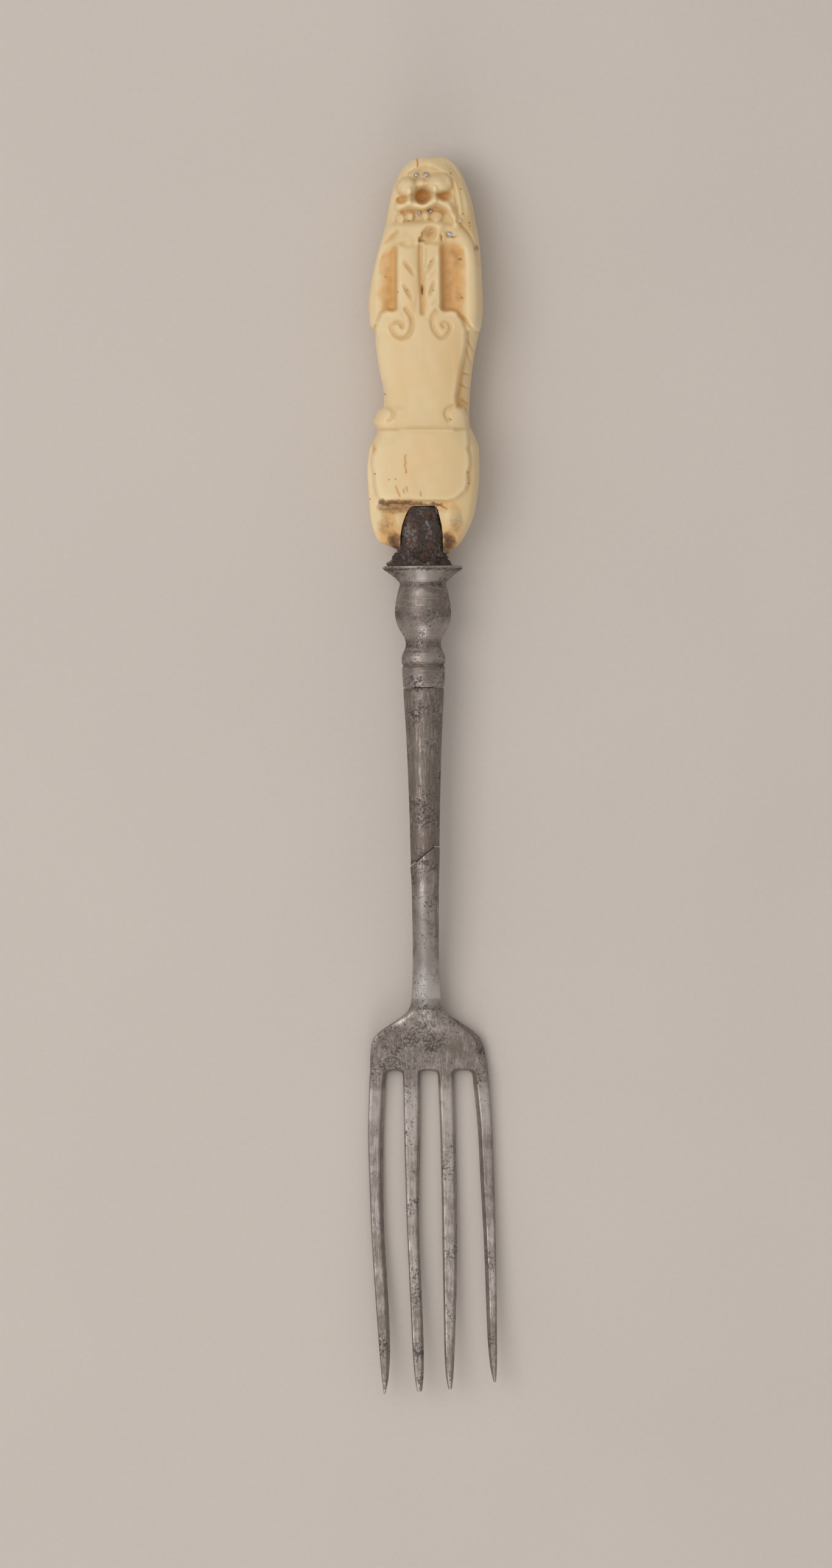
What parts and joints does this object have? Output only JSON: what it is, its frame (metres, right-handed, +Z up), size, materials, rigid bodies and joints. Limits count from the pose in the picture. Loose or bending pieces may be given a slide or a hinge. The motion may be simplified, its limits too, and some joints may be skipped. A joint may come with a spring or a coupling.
{
  "type": "travel fork",
  "caption": "Antique travel fork: carved ivory handle on an iron tang, turned steel bolster, and a tined head whose spigot pulls out of the tapered shank.",
  "frame": {"origin": "on the table under the middle of the fork's length and width, with the fork lying on its back", "axes": "+Y from the tines to the handle's crown, +X to the right seen from above, +Z up out of the carved front"},
  "size_m": [0.0212, 0.2, 0.0145],
  "materials": {
    "ivory": "worn semi-gloss ivory, brown in the hollows",
    "rusty_iron": "rough dark rust",
    "cement": "dull resin cement",
    "steel": "grey steel with brown patina and pits",
    "silver": "worn silver"
  },
  "bodies": {
    "handle": {"ivory_handle": "ivory", "tang": "rusty_iron", "tang_cement": "cement", "tang_cross_pin": "rusty_iron", "bolster": "steel", "upper_shank": "steel", "forehead_pin_left": "silver", "forehead_pin_right": "silver", "tooth_pin_left": "silver", "tooth_pin_right": "silver", "collar_pin": "silver"},
    "fork": {"fork_head": "steel"}
  },
  "joints": [
    {"name": "fork_pull", "type": "slide", "parent": "handle", "child": "fork", "axis": [0.0082, -1, 0], "range_m": [0, 0.018]}
  ]
}
